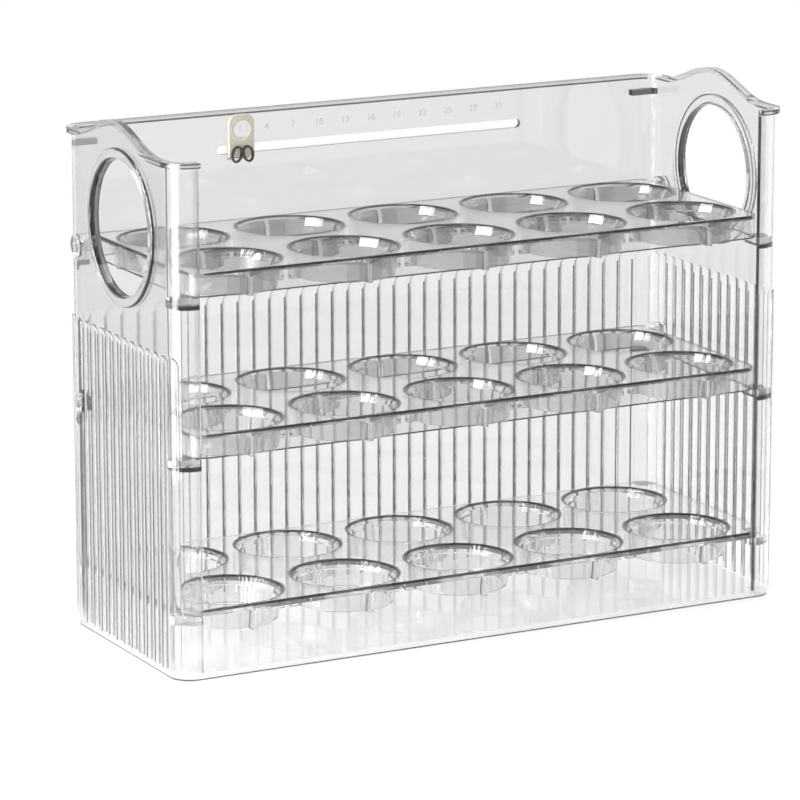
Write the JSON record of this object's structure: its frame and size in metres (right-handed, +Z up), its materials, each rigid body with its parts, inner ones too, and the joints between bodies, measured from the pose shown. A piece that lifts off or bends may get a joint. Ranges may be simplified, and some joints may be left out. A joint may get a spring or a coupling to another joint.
{
  "type": "egg storage box",
  "caption": "Clear plastic egg storage box with an open front, fluted walls, hand holes, flip-up egg trays over a drop-in tray, and a date slider in the back wall.",
  "frame": {"origin": "under the middle of the base, on the surface the box stands on", "axes": "+X to the right seen from the open front, +Y from the open front to the back wall, +Z up"},
  "size_m": [0.26, 0.1, 0.2005],
  "materials": {
    "clear_plastic": "clear polished moulding",
    "ivory_plastic": "ivory satin moulding",
    "dark_plastic": "dark brown gloss"
  },
  "bodies": {
    "casing": {"casing": "clear_plastic"},
    "top_tray": {"top_tray": "clear_plastic"},
    "middle_tray": {"middle_tray": "clear_plastic"},
    "bottom_tray": {"bottom_tray": "clear_plastic"},
    "date_slider": {"slider_tag": "ivory_plastic", "slider_grip": "dark_plastic", "slider_clip": "ivory_plastic"}
  },
  "joints": [
    {"name": "top_tray_flip", "type": "hinge", "parent": "casing", "child": "top_tray", "pos_m": [0, 0.038, 0.1477], "axis": [-1, 0, 0], "range_deg": [0, 92]},
    {"name": "middle_tray_flip", "type": "hinge", "parent": "casing", "child": "middle_tray", "pos_m": [0, 0.038, 0.088], "axis": [-1, 0, 0], "range_deg": [0, 34]},
    {"name": "bottom_tray_lift", "type": "slide", "parent": "casing", "child": "bottom_tray", "axis": [0, 0, 1], "range_m": [0, 0.05]},
    {"name": "date_slide", "type": "slide", "parent": "casing", "child": "date_slider", "axis": [1, 0, 0], "range_m": [-0.0055, 0.118]}
  ]
}
